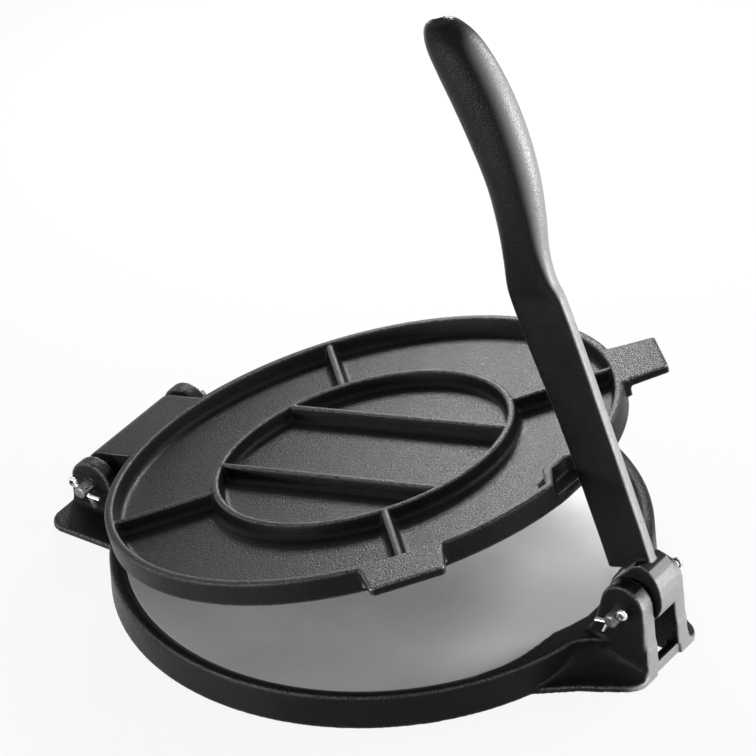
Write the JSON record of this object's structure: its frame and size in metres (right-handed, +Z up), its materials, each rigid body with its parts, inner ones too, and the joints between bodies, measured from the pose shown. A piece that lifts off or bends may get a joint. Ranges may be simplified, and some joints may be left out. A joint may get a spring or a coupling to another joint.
{
  "type": "tortilla press",
  "caption": "Cast iron tortilla press with a round dished base, a hinged ribbed top plate held ajar and a long upright lever pivoting in a front clevis.",
  "frame": {"origin": "centre of the round base, on the surface that the base stands on", "axes": "+Z up, +X from the rear hinge towards the front lever, +Y along both pivot pins"},
  "size_m": [0.3313, 0.2676, 0.3214],
  "materials": {
    "seasoned_iron": "fine grained, satin black",
    "pin_steel": "dark turned",
    "zinc_plate": "bright plated"
  },
  "bodies": {
    "base": {"base_casting": "seasoned_iron", "hinge_pin": "pin_steel", "hinge_cotter_left": "zinc_plate", "hinge_cotter_right": "zinc_plate", "lever_pin": "pin_steel", "lever_cotter_left": "zinc_plate", "lever_cotter_right": "zinc_plate"},
    "plate": {"top_plate_casting": "seasoned_iron"},
    "lever": {"lever_casting": "seasoned_iron"}
  },
  "joints": [
    {"name": "plate_hinge", "type": "hinge", "parent": "base", "child": "plate", "pos_m": [-0.1483, 0, 0.0187], "axis": [0, -1, 0], "range_deg": [-14.2, 85.8]},
    {"name": "lever_pivot", "type": "hinge", "parent": "base", "child": "lever", "pos_m": [0.1513, 0, 0.037], "axis": [0, 1, 0], "range_deg": [0, 95]}
  ]
}
